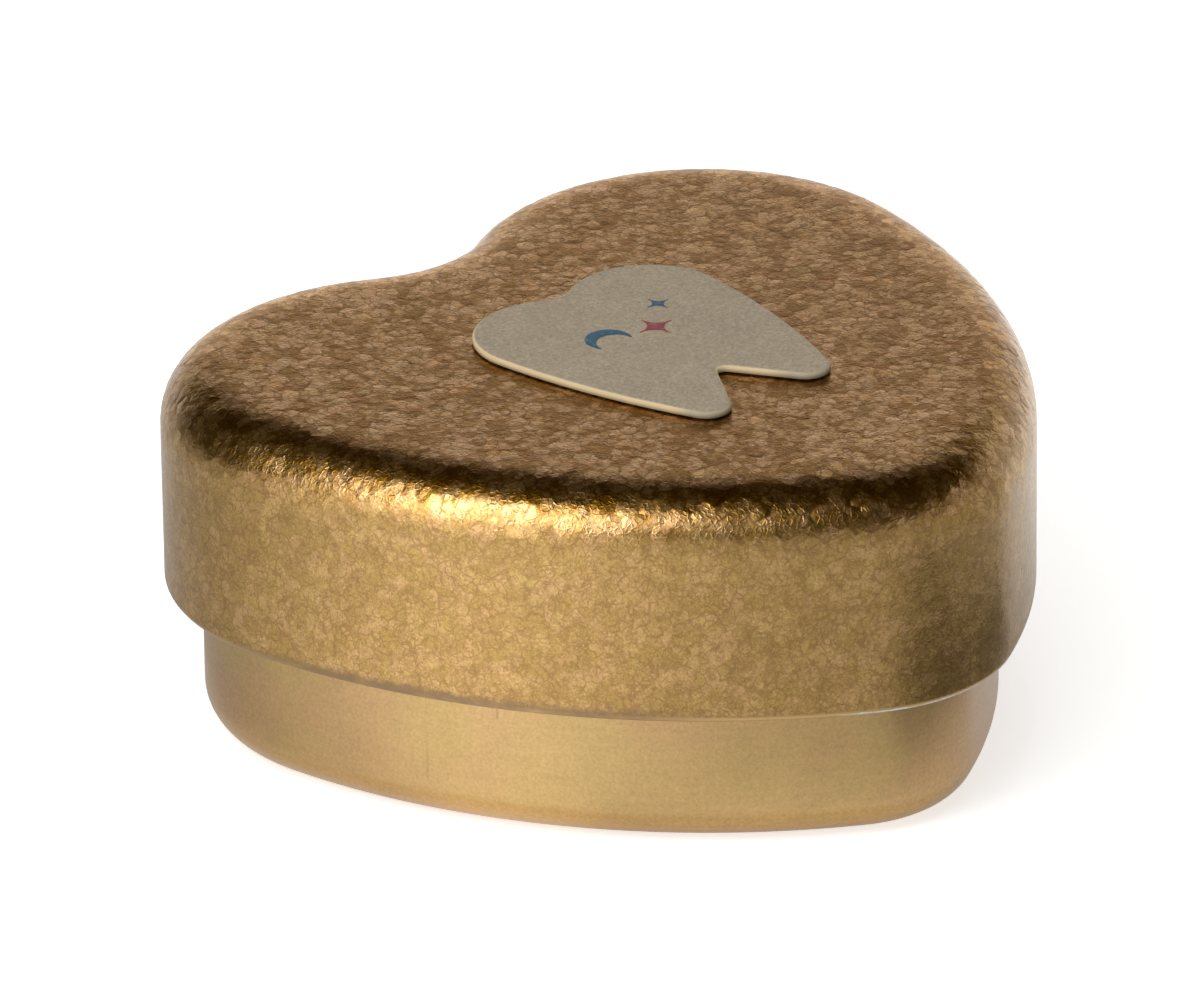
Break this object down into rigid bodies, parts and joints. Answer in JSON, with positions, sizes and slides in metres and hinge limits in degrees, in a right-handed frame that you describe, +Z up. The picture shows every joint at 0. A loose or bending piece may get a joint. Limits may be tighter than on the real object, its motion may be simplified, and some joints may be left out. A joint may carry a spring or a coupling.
{
  "type": "baby tooth box",
  "caption": "Small heart-shaped metal keepsake tin for milk teeth: a hammered lift-off slip lid with a raised tooth-shaped plaque, on a smooth inset base with a curled rim.",
  "frame": {"origin": "middle of the box's footprint, on the surface that it stands on, lid closed", "axes": "+Z up, in the direction that the lid lifts; +Y towards the cleft between the heart's two lobes, -Y towards its tip; +X across the lobes; the box is mirror-symmetric about the YZ plane"},
  "size_m": [0.05, 0.0468, 0.0221],
  "materials": {
    "base_lacquer": "satin gold lacquer on tinplate",
    "lid_lacquer": "hammered gold lacquer on tinplate",
    "plaque_enamel": "matt off-white",
    "adhesive": "clear film",
    "red_paint": "matt paint",
    "blue_paint": "matt paint"
  },
  "bodies": {
    "base": {"base_shell": "base_lacquer"},
    "lid": {"lid_shell": "lid_lacquer", "tooth_plaque": "plaque_enamel", "plaque_adhesive": "adhesive"}
  },
  "joints": [
    {"name": "lid_lift", "type": "slide", "parent": "base", "child": "lid", "axis": [0, 0, 1], "range_m": [0, 0.03]}
  ]
}
